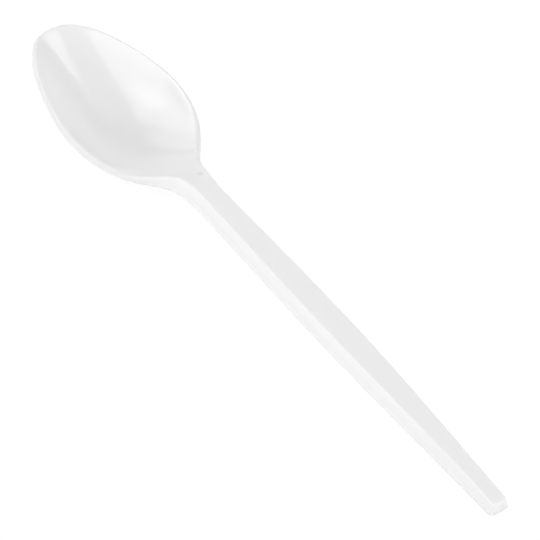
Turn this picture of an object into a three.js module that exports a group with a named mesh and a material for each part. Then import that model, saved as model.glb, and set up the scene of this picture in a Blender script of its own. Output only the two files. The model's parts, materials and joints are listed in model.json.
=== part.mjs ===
// A disposable plastic spoon, moulded in one piece from white polystyrene.
// It lies on a table at z = 0 on the underside of its bowl and on the end of its handle.
// Millimetres, +Z up, +X from the handle's end to the bowl's tip, even about the XZ plane.
import * as THREE from "three";
import { ParametricGeometry } from "three/addons/geometries/ParametricGeometry.js";
import { mergeVertices } from "three/addons/utils/BufferGeometryUtils.js";

// Lengths of the top edge, wall of the moulding and slope of its side walls
const spoonLength = 166.2;
const bowlLength = 64.6;
const wall = 1.0;
const draftAngle = THREE.MathUtils.degToRad(13.5);
const edgeRadius = 0.7;
const endRadius = 0.4;
const rimLand = 0.15;

// Handle, widths across its flat top
const endWidth = 3.57;
const endCorner = 0.9;
const endSpread = 0.027;
const handleWidth = 6.52;
const neckWidth = 5.53;
const neckTaper = 0.008;

// Bowl, seen from above
const bowlWidth = 30.14;
const frontWidth = 11.8;
const frontTurn = THREE.MathUtils.degToRad(-46.1);
const bowlDepth = 6.7;
const neckDip = 0.27;
const footFlat = 0.2;

// Height of the top edge above the table, from the side
const endHeight = 2.77;
const neckHeight = 9.44;
const shoulderHeight = 4.93;
const tipHeight = 10.6;

// Height of the side wall that hangs from the top edge, and the width of its lower lip
const sideWallHeight = 3.53;
const shoulderWallHeight = 3.27;
const rimHeight = 1.1;
const wallLip = 0.9 * wall;
const rimLip = 0.25 * wall;

// Places along the spoon, from the handle's end to the bowl's tip
const neckStart = spoonLength - bowlLength;
const alongBowl = (share) => neckStart + share * bowlLength;
const handleWidest = 0.588 * neckStart;
const wallEases = alongBowl(-0.053);
const faceDrops = alongBowl(0.05);
const edgeDrops = alongBowl(0.077);
const wallShortens = alongBowl(0.152);
const faceFalls = alongBowl(0.2);
const shoulderStart = alongBowl(0.311);
const wallFades = alongBowl(0.314);
const bowlDeepest = alongBowl(0.5);
const bowlWidest = alongBowl(0.543);
const frontCorner = alongBowl(0.963);

// A smooth line through points that each give a place, a height and a slope
function smoothLine(points, x) {
  let i = 0;
  while (i < points.length - 2 && x > points[i + 1][0]) i += 1;
  const [x0, h0, s0] = points[i];
  const [x1, h1, s1] = points[i + 1];
  const run = x1 - x0;
  const t = THREE.MathUtils.clamp((x - x0) / run, 0, 1);
  const rise = t * t * (3 - 2 * t);
  const leave = t * (1 - t) * (1 - t) * s0 * run;
  const arrive = t * t * (t - 1) * s1 * run;
  return h0 + (h1 - h0) * rise + leave + arrive;
}

// The top edge climbs the handle, drops behind the bowl and climbs again to the tip
const handleRise = (neckHeight - endHeight) / edgeDrops;
const rimRise = (tipHeight - shoulderHeight) / (spoonLength - shoulderStart);
const edgePoints = [
  [0, endHeight, 1.73 * handleRise],
  [edgeDrops, neckHeight, 0.78 * handleRise],
  [shoulderStart, shoulderHeight, 1.94 * rimRise],
  [spoonLength, tipHeight, 0.1 * rimRise],
];
const edgeHeight = (x) => smoothLine(edgePoints, x);

// The side wall is as high as the handle allows and shortens to a low rim behind the bowl
const wallGrowth = (sideWallHeight - endHeight) / handleWidest;
const wallLoss = (rimHeight - shoulderWallHeight) / (wallFades - wallShortens);
const wallPoints = [
  [0, endHeight, 1.5 * wallGrowth],
  [handleWidest, sideWallHeight, 0],
  [wallEases, sideWallHeight, 0],
  [wallShortens, shoulderWallHeight, wallLoss],
  [wallFades, rimHeight, 0],
];
const wallHeight = (x) => smoothLine(wallPoints, x);

// Half of the top edge from above: across the handle's end, along the handle and round the bowl
const at = (x, y) => new THREE.Vector2(x, y);
const endHalf = endWidth / 2;
const handleHalf = handleWidth / 2;
const neckHalf = neckWidth / 2;
const bowlHalf = bowlWidth / 2;
const frontHalf = frontWidth / 2;
const sideRun = 0.365 * handleWidest;
const waistRun = 0.353 * (neckStart - handleWidest);
const neckRun = 0.524 * (bowlWidest - neckStart);
const shoulderRun = 0.528 * (bowlWidest - neckStart);
const flank = Math.hypot(frontCorner - bowlWidest, bowlHalf - frontHalf);
const nose = Math.hypot(spoonLength - frontCorner, frontHalf);
const noseHalf = 0.57 * frontHalf;
const frontWay = at(Math.cos(frontTurn), Math.sin(frontTurn));
const front = at(frontCorner, frontHalf);
const sideStart = at(endCorner, endHalf + endSpread * endCorner);

const topEdge = [
  new THREE.LineCurve(at(0, 0), at(0, endHalf - endCorner)),
  new THREE.QuadraticBezierCurve(at(0, endHalf - endCorner), at(0, endHalf), sideStart),
  new THREE.CubicBezierCurve(
    sideStart,
    at(sideRun, endHalf + endSpread * sideRun),
    at(handleWidest - sideRun, handleHalf),
    at(handleWidest, handleHalf),
  ),
  new THREE.CubicBezierCurve(
    at(handleWidest, handleHalf),
    at(handleWidest + waistRun, handleHalf),
    at(neckStart - waistRun, neckHalf + neckTaper * waistRun),
    at(neckStart, neckHalf),
  ),
  new THREE.CubicBezierCurve(
    at(neckStart, neckHalf),
    at(neckStart + neckRun, neckHalf - neckTaper * neckRun),
    at(bowlWidest - shoulderRun, bowlHalf),
    at(bowlWidest, bowlHalf),
  ),
  new THREE.CubicBezierCurve(
    at(bowlWidest, bowlHalf),
    at(bowlWidest + 0.212 * flank, bowlHalf),
    front.clone().addScaledVector(frontWay, -0.257 * flank),
    front,
  ),
  new THREE.CubicBezierCurve(
    front,
    front.clone().addScaledVector(frontWay, 0.299 * nose),
    at(spoonLength, noseHalf),
    at(spoonLength, 0),
  ),
];
const edgeSteps = [2, 4, 8, 7, 18, 9, 9];
const rowCount = edgeSteps.reduce((sum, n) => sum + n, 0);

// The rows of the surface run from the middle line out to the top edge, and fan out round both ends;
// the edge is rounded less round the handle's end, whose corners are tight
const endMiddle = endCorner + 1.3;
const endFan = 8;
const { lerp, smoothstep } = THREE.MathUtils;
const roundAt = (x) => lerp(endRadius, edgeRadius, smoothstep(x, endCorner, endFan));
function rowAt(position) {
  let stretch = 0;
  let step = THREE.MathUtils.clamp(position, 0, rowCount);
  while (step > edgeSteps[stretch] && stretch < topEdge.length - 1) {
    step -= edgeSteps[stretch];
    stretch += 1;
  }
  const t = step / edgeSteps[stretch];
  const edge = topEdge[stretch].getPoint(t);
  const along = topEdge[stretch].getTangent(t);
  const out = at(-along.y, along.x);
  let middle = edge.x;
  if (stretch < 2) middle = endMiddle;
  if (stretch === 2) {
    const near = Math.max(0, 1 - (edge.x - endCorner) / endFan);
    middle = edge.x + (endMiddle - endCorner) * near * near;
  }
  if (stretch > 4) middle = bowlWidest;
  const round = roundAt(edge.x);
  const inner = edge.clone().addScaledVector(out, -(rimLand + round));
  return { edge, out, middle: at(middle, 0), inner, round };
}

// Upper face: the flat handle, running down into a bowl whose cross sections are arcs
const arcReach = 0.6;
const arcSag = 1 - Math.sqrt(1 - arcReach * arcReach);
const bowlArc = (v) => (1 - Math.sqrt(1 - (arcReach * v) ** 2)) / arcSag;
const nudge = 0.01;
const faceHeight = edgeHeight(faceDrops);
const faceRise = (edgeHeight(faceDrops + nudge) - faceHeight) / nudge;
const floorHeight = wall - footFlat;
const faceFall = (floorHeight - faceHeight) / (bowlDeepest - faceDrops);
const middlePoints = [
  [faceDrops, faceHeight, faceRise],
  [faceFalls, edgeHeight(faceFalls) - neckDip, 1.7 * faceFall],
  [bowlDeepest, floorHeight, 0],
  [spoonLength, tipHeight - bowlDepth, 0],
];
const middleHeight = (x) => (x < faceDrops ? edgeHeight(x) : smoothLine(middlePoints, x));
const depthAt = (x) => edgeHeight(x) - middleHeight(x);
function upperPoint(position, v) {
  const row = rowAt(position);
  const plan = row.middle.clone().lerp(row.inner, v);
  const z = edgeHeight(plan.x) - depthAt(plan.x) * (1 - bowlArc(v));
  return new THREE.Vector3(plan.x, plan.y, z);
}

// Lower face: one wall thickness below the upper face, square to it
function lowerPoint(position, v) {
  const here = upperPoint(position, v);
  const up = new THREE.Vector3();
  if (v === 0 || here.x < faceDrops) {
    up.set((middleHeight(here.x - nudge) - middleHeight(here.x + nudge)) / (2 * nudge), 0, 1);
  } else {
    const ahead = upperPoint(Math.min(position + nudge, rowCount), v);
    const behind = upperPoint(Math.max(position - nudge, 0), v);
    const outward = upperPoint(position, v + nudge);
    const inward = upperPoint(position, v - nudge);
    up.crossVectors(ahead.sub(behind), outward.sub(inward));
  }
  return here.addScaledVector(up.normalize(), -wall);
}

// Half a cross section: over the upper face, round the top edge, down the side wall and back beneath
const faceSteps = 9;
const firstShare = 0.04;
const faceShare = (i) => (i === 0 ? 0 : THREE.MathUtils.lerp(firstShare, 1, (i - 1) / (faceSteps - 1)));
const roundSteps = 3;
const sideSteps = 2;
const lowerReach = 0.96;
function halfSection(position) {
  const row = rowAt(position);
  const top = edgeHeight(row.edge.x);
  const drop = wallHeight(row.edge.x);
  const hung = (drop - rimHeight) / (sideWallHeight - rimHeight);
  const draft = draftAngle * (1 - Math.max(0, -row.out.x));
  const beside = (reach, z) => {
    const plan = row.edge.clone().addScaledVector(row.out, reach);
    return new THREE.Vector3(plan.x, plan.y, z);
  };
  const points = [];
  for (let i = 0; i <= faceSteps; i += 1) points.push(upperPoint(position, faceShare(i)));
  for (let i = 0; i <= roundSteps; i += 1) {
    const turn = THREE.MathUtils.lerp(Math.PI / 2, draft, i / roundSteps);
    const reach = row.round * (Math.cos(turn) - 1);
    points.push(beside(reach, top + row.round * (Math.sin(turn) - 1)));
  }
  const outerTop = points[points.length - 1];
  const spread = drop * Math.tan(draft);
  const outerFoot = beside(spread, top - drop);
  for (let i = 1; i <= sideSteps; i += 1) points.push(outerTop.clone().lerp(outerFoot, i / sideSteps));
  const innerFoot = beside(spread - THREE.MathUtils.lerp(rimLip, wallLip, hung), top - drop);
  const innerTop = lowerPoint(position, lowerReach);
  for (let i = 0; i < sideSteps; i += 1) points.push(innerFoot.clone().lerp(innerTop, i / sideSteps));
  for (let i = faceSteps; i >= 0; i -= 1) {
    points.push(lowerPoint(position, lowerReach * faceShare(i)));
  }
  return points;
}

// The whole skin, both halves, with the underside of the bowl lowered to the table and flattened there
const rows = [];
for (let i = 0; i <= rowCount; i += 1) rows.push(halfSection(i));
const halfSteps = rows[0].length - 1;
const inBowl = rows.flat().filter((point) => point.x > neckStart);
const lowest = Math.min(...inBowl.map((point) => point.z));
const sink = lowest + footFlat;
function skin(u, v, target) {
  const index = Math.round(v * rowCount);
  const row = rows[index];
  const step = Math.round(u * 2 * halfSteps);
  const far = step > halfSteps;
  const point = row[far ? 2 * halfSteps - step : step];
  const side = index === 0 || index === rowCount ? 0 : far ? 1 : -1;
  const bowlShare = THREE.MathUtils.smoothstep(point.x, 0, bowlWidest);
  target.set(point.x, side * point.y, Math.max(point.z - sink * bowlShare, 0));
}
const loose = new ParametricGeometry(skin, 2 * halfSteps, rowCount);
loose.deleteAttribute("normal");
loose.deleteAttribute("uv");
const body = mergeVertices(loose, 1e-3);

// Rows that start from one point leave empty triangles there, which are dropped
const corners = body.index.array;
const kept = [];
for (let i = 0; i < corners.length; i += 3) {
  const [a, b, c] = [corners[i], corners[i + 1], corners[i + 2]];
  if (a !== b && b !== c && c !== a) kept.push(a, b, c);
}
body.setIndex(kept);
body.computeBoundingBox();
const middleX = (body.boundingBox.min.x + body.boundingBox.max.x) / 2;
body.translate(-middleX, 0, 0);
body.computeVertexNormals();

const whitePlastic = new THREE.MeshStandardMaterial({ color: 0xf3f3f3, roughness: 0.32, metalness: 0 });
const spoon = new THREE.Mesh(body, whitePlastic);
spoon.name = "spoon";

const part = new THREE.Group();
part.name = "disposable_spoon";
part.add(spoon);
export default part;
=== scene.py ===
# A white disposable spoon, moulded in one piece, lying on a white table.
# It rests on the underside of its bowl and on the end of its handle, bowl upwards.
import json
import math

import bpy
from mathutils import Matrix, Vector

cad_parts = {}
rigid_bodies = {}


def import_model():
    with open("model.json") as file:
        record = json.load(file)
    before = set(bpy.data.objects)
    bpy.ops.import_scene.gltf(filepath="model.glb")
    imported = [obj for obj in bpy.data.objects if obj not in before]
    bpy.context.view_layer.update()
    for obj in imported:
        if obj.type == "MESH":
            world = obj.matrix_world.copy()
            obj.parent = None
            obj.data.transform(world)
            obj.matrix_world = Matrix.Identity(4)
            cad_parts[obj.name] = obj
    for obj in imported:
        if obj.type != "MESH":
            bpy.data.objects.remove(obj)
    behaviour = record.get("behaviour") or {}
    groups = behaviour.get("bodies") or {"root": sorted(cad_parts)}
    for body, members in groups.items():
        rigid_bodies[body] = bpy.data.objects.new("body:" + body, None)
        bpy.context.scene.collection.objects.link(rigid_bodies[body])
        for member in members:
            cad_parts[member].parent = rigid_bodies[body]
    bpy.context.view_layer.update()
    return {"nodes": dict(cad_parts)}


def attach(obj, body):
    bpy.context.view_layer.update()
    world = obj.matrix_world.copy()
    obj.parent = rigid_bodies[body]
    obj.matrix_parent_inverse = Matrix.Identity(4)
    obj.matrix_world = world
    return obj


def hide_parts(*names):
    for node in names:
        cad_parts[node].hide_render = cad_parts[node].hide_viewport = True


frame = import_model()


# The spoon
# One thin injection moulding in white polystyrene: a pointed oval bowl, a neck, and a long handle whose
# section is a channel with its open side down. The melt does not fill a sharp corner, so its folds and rims
# are rounded.
merge_gap = 2e-6
any_angle = math.pi
row_bias = 2.0
lip_angle = math.radians(62)
lip_crease = 0.55
smoothing_steps = 2
lip_turn = 0.4
bowl_widest = 0.054

bpy.ops.object.select_all(action="DESELECT")
cad_spoon = frame["nodes"]["spoon"]
cad_spoon.select_set(True)
bpy.context.view_layer.objects.active = cad_spoon
bpy.ops.object.duplicate()
spoon = bpy.context.object
spoon.name = "moulded_spoon"
bpy.ops.object.parent_clear(type="CLEAR_KEEP_TRANSFORM")

bpy.ops.object.mode_set(mode="EDIT")
bpy.ops.mesh.select_all(action="SELECT")
bpy.ops.mesh.remove_doubles(threshold=merge_gap)
bpy.ops.mesh.customdata_custom_splitnormals_clear()
bpy.ops.mesh.tris_convert_to_quads(
    face_threshold=any_angle,
    shape_threshold=any_angle,
    topology_influence=row_bias,
)
bpy.ops.mesh.select_all(action="DESELECT")
bpy.ops.mesh.edges_select_sharp(sharpness=lip_angle)
bpy.ops.transform.edge_crease(value=lip_crease)
bpy.ops.object.mode_set(mode="OBJECT")

smooth = spoon.modifiers.new("smooth", "SUBSURF")
smooth.levels = smoothing_steps
smooth.render_levels = smoothing_steps
bpy.ops.object.modifier_apply(modifier="smooth")
bpy.ops.object.shade_smooth()

# Each point's share of the inside: 1 where the skin faces up or inwards, 0 where it turns out over the lip
inside_shares = []
for vertex in spoon.data.vertices:
    middle = Vector((min(vertex.co.x, bowl_widest), 0))
    outwards = (vertex.co.to_2d() - middle).normalized()
    turned_out = vertex.normal.to_2d().dot(outwards)
    share = min(max(1 - turned_out / lip_turn, 0), 1)
    inside_shares.append(share if vertex.normal.z > 0 else 0)
inside_layer = spoon.data.attributes.new("inside", "FLOAT", "POINT")
inside_layer.data.foreach_set("value", inside_shares)


class Wire:
    """A node's output that can stand in a sum, which then adds the Math nodes it needs."""

    def __init__(self, socket):
        self.socket = socket

    @classmethod
    def node(cls, tree, kind, settings=None, inputs=None, output=0):
        """Adds a node, sets it up, fills or links its sockets and gives one of its outputs."""
        made = tree.nodes.new(kind)
        for name, value in (settings or {}).items():
            setattr(made, name, value)
        for name, value in (inputs or {}).items():
            if isinstance(value, Wire):
                tree.links.new(value.socket, made.inputs[name])
            else:
                made.inputs[name].default_value = value
        return cls(made.outputs[output]) if made.outputs else None

    def maths(self, operation, first, second):
        tree = self.socket.id_data
        return Wire.node(tree, "ShaderNodeMath", {"operation": operation}, {0: first, 1: second})

    def __add__(self, other):
        return self.maths("ADD", self, other)

    def __radd__(self, other):
        return self.maths("ADD", other, self)

    def __sub__(self, other):
        return self.maths("SUBTRACT", self, other)

    def __rsub__(self, other):
        return self.maths("SUBTRACT", other, self)

    def __mul__(self, other):
        return self.maths("MULTIPLY", self, other)

    def __rmul__(self, other):
        return self.maths("MULTIPLY", other, self)


def eased(value, start, end):
    """Adds a smooth rise from 0 to 1 while the value goes from the start to the end."""
    return Wire.node(value.socket.id_data, "ShaderNodeMapRange", {"interpolation_type": "SMOOTHSTEP"}, {
        "Value": value,
        "From Min": start,
        "From Max": end,
    })


def blended(share, first, second):
    """Adds a mix of two colours that holds this share of the second."""
    first_socket, second_socket, mixed_socket = 6, 7, 2
    return Wire.node(share.socket.id_data, "ShaderNodeMix", {"data_type": "RGBA"}, {
        "Factor": share,
        first_socket: first,
        second_socket: second,
    }, output=mixed_socket)


# The mould is polished where it makes the inside of the bowl and satin elsewhere. The plastic is faintly wavy
# where it shrank as it cooled, is painted a greyer shade where its skin turns out over the lip or faces down
# past the neck, and has a grey speck with a small dent at the neck
plastic_white = (0.90, 0.90, 0.90, 1)
plastic_shade = (0.87, 0.87, 0.87, 1)
# A darker grey, painted as shade on the skin that turns out over the lip or faces down
painted_rim_shade_grey = (0.82, 0.82, 0.82, 1)
plastic_ior = 1.59
plastic_depth = 0.0005
even_colours = (1, 1, 1)
satin = 0.5
polish = 0.09
finish_spread = 0.06
neck_satin_end = 0.024
bowl_polish_start = 0.042
flow_size = 90
flow_stretch = (0.35, 1, 1)
flow_detail = 3.0
ripple_strength = 0.12
ripple_height = 0.0004
grain_size = 1400
grain_detail = 2.0
grain_strength = 0.05
grain_height = 0.00005
speck_place = (0.0247, -0.0015, 0.0088)
speck_turn = math.radians(54.7)
speck_reach = (0.00085, 0.00075, 0.0010)
speck_core = 0.3
speck_fade = 1.2
speck_grey = (0.5, 0.5, 0.5, 1)
speck_share = 0.3
speck_dent = 2

plastic = bpy.data.materials.new("white_polystyrene")
plastic.use_nodes = True
tree = plastic.node_tree
tree.nodes.clear()
place = Wire.node(tree, "ShaderNodeTexCoord", output="Object")
along = Wire.node(tree, "ShaderNodeSeparateXYZ", inputs={0: place}, output="X")
inside = Wire.node(tree, "ShaderNodeAttribute", {"attribute_name": "inside"}, output="Fac")
past_neck = eased(along, neck_satin_end, bowl_polish_start)

drawn_out = Wire.node(tree, "ShaderNodeMapping", inputs={"Vector": place, "Scale": flow_stretch})
flow = Wire.node(tree, "ShaderNodeTexNoise", inputs={
    "Vector": drawn_out,
    "Scale": flow_size,
    "Detail": flow_detail,
})
grain = Wire.node(tree, "ShaderNodeTexNoise", inputs={
    "Vector": place,
    "Scale": grain_size,
    "Detail": grain_detail,
})
near_speck = Wire.node(tree, "ShaderNodeMapping", {"vector_type": "TEXTURE"}, {
    "Vector": place,
    "Location": speck_place,
    "Rotation": (0, 0, speck_turn),
    "Scale": speck_reach,
})
speck_gap = Wire.node(tree, "ShaderNodeVectorMath", {"operation": "LENGTH"}, {0: near_speck}, output="Value")
speck = 1 - eased(speck_gap, speck_core, speck_fade)

shaded = blended(flow, plastic_white, plastic_shade)
# Painted shade: past the neck, the skin that turns out over the lip or faces down gets the darker grey
with_painted_rim_shade = blended((1 - inside) * past_neck, shaded, painted_rim_shade_grey)
marked = blended(speck * speck_share, with_painted_rim_shade, speck_grey)
ripple = Wire.node(tree, "ShaderNodeBump", inputs={
    "Height": flow,
    "Strength": ripple_strength,
    "Distance": ripple_height,
})
skin = Wire.node(tree, "ShaderNodeBump", inputs={
    "Height": grain - speck * speck_dent,
    "Strength": grain_strength,
    "Distance": grain_height,
    "Normal": ripple,
})


def moulded(roughness):
    """Adds the plastic's shader with the finish of one part of the mould."""
    return Wire.node(tree, "ShaderNodeBsdfPrincipled", {"subsurface_method": "RANDOM_WALK"}, {
        "Base Color": marked,
        "Roughness": roughness + flow * finish_spread,
        "Normal": skin,
        "IOR": plastic_ior,
        "Subsurface Weight": 1.0,
        "Subsurface Radius": even_colours,
        "Subsurface Scale": plastic_depth,
    })


finished = Wire.node(tree, "ShaderNodeMixShader", inputs={
    0: inside * past_neck,
    1: moulded(satin),
    2: moulded(polish),
})
Wire.node(tree, "ShaderNodeOutputMaterial", inputs={"Surface": finished})
spoon.data.materials.clear()
spoon.data.materials.append(plastic)

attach(spoon, "root")
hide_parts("spoon")


# The table
# A seamless sheet of matt white card, laid flat under the spoon and lit so evenly that the eye sees no edge.
# The spoon's faint shadow is kept on it.
table_size = 6.0
sheet_white = (0.99, 0.99, 0.99, 1)
sheet_glow = 1.05
shadow_share = 0.12

bpy.ops.object.select_all(action="DESELECT")
bpy.ops.mesh.primitive_plane_add(size=table_size)
table = bpy.context.object
table.name = "table"
white = bpy.data.materials.new("white_sheet")
white.use_nodes = True
tree = white.node_tree
tree.nodes.clear()
camera_ray = Wire.node(tree, "ShaderNodeLightPath", output="Is Camera Ray")
glossy_ray = Wire.node(tree, "ShaderNodeLightPath", output="Is Glossy Ray")
passing_ray = Wire.node(tree, "ShaderNodeLightPath", output="Is Transmission Ray")
sheet = Wire.node(tree, "ShaderNodeBsdfDiffuse", inputs={"Color": sheet_white})
glow = Wire.node(tree, "ShaderNodeEmission", inputs={"Strength": sheet_glow})
looked_at = (camera_ray + glossy_ray + passing_ray) * (1 - shadow_share)
mixed = Wire.node(tree, "ShaderNodeMixShader", inputs={0: looked_at, 1: sheet, 2: glow})
Wire.node(tree, "ShaderNodeOutputMaterial", inputs={"Surface": mixed})
table.data.materials.append(white)


# The light
# A tent of white cloth over the table, with a bright skirt and a dimmer top that is darkest beyond the spoon.
# Soft panels hang on both sides, the left one with a lamp's brighter spot in its middle and a round screen
# beyond it, and two low panels near the camera light the spoon's side wall.
view_azimuth = math.radians(234.716)
image_right = Vector((math.cos(view_azimuth), math.sin(view_azimuth), 0))
image_away = Vector((-math.sin(view_azimuth), math.cos(view_azimuth), 0))
tent_white = (1, 1, 1, 1)
skirt_strength = 0.98
skirt_bottom = 0.12
skirt_top = 0.62
top_strength = 0.34
tent_slope = 0.2
dark_turn = math.radians(15)
dark_side = image_away * math.cos(dark_turn) + image_right * math.sin(dark_turn)
panel_distance = 1.2

world = bpy.data.worlds.new("tent")
bpy.context.scene.world = world
world.use_nodes = True
tree = world.node_tree
background = tree.nodes["Background"]
background.inputs["Color"].default_value = tent_white
way = Wire.node(tree, "ShaderNodeTexCoord", output="Generated")
height = Wire.node(tree, "ShaderNodeSeparateXYZ", inputs={0: way}, output="Z")
facing = Wire.node(tree, "ShaderNodeVectorMath", {"operation": "DOT_PRODUCT"}, {
    0: way,
    1: dark_side,
}, output="Value")
above_skirt = eased(height, skirt_bottom, skirt_top)
tent = (1 - above_skirt) * skirt_strength + above_skirt * top_strength - facing * tent_slope
camera_ray = Wire.node(tree, "ShaderNodeLightPath", output="Is Camera Ray")
strength = camera_ray + (1 - camera_ray) * tent
tree.links.new(strength.socket, background.inputs["Strength"])


def add_panel(name, side, onward, shape, size, brightness):
    """Hangs a panel that faces the spoon, so many degrees from overhead to the right and away."""
    tilt = math.radians(math.hypot(side, onward))
    level = (image_right * side + image_away * onward).normalized()
    out_to_panel = level * math.sin(tilt) + Vector((0, 0, math.cos(tilt)))
    bpy.ops.object.light_add(type="AREA", location=out_to_panel * panel_distance)
    lamp = bpy.context.object
    lamp.name = name
    lamp.rotation_euler = (-out_to_panel).to_track_quat("-Z", "Y").to_euler()
    lamp.data.shape = shape
    lamp.data.size = size[0] * panel_distance
    lamp.data.size_y = size[1] * panel_distance
    area = lamp.data.size * lamp.data.size_y
    if shape == "ELLIPSE":
        area *= math.pi / 4
    lamp.data.energy = brightness * math.pi * area


add_panel("left_panel", side=-40, onward=5, shape="RECTANGLE", size=(0.93, 0.65), brightness=1.45)
add_panel("left_lamp", side=-41, onward=2.5, shape="ELLIPSE", size=(0.4, 0.4), brightness=1.1)
add_panel("right_panel", side=37.5, onward=-1.5, shape="RECTANGLE", size=(0.87, 0.71), brightness=1.9)
add_panel("left_screen", side=-36, onward=47, shape="ELLIPSE", size=(0.55, 0.5), brightness=0.9)
add_panel("front_panel", side=43, onward=-61, shape="RECTANGLE", size=(0.5, 0.3), brightness=1.5)
add_panel("near_panel", side=-66, onward=-48, shape="RECTANGLE", size=(0.6, 0.25), brightness=1.6)


# The camera
# A long lens that looks down on the table at 45 degrees, from beyond the handle's end and to one side.
# The spoon lies across its square picture from corner to corner.
view_elevation = math.radians(45)
view_distance = 0.7
view_aim = Vector((-0.00076, -0.00193, 0))
focal_pixels = 3260
image_pixels = 540
sensor_width = 36

towards = Vector((
    math.cos(view_elevation) * math.sin(view_azimuth),
    -math.cos(view_elevation) * math.cos(view_azimuth),
    math.sin(view_elevation),
))
bpy.ops.object.camera_add(location=view_aim + view_distance * towards)
camera = bpy.context.object
camera.rotation_euler = (-towards).to_track_quat("-Z", "Y").to_euler()
camera.data.sensor_width = sensor_width
camera.data.lens = focal_pixels / image_pixels * sensor_width
bpy.context.scene.camera = camera
bpy.context.scene.view_settings.view_transform = "Standard"
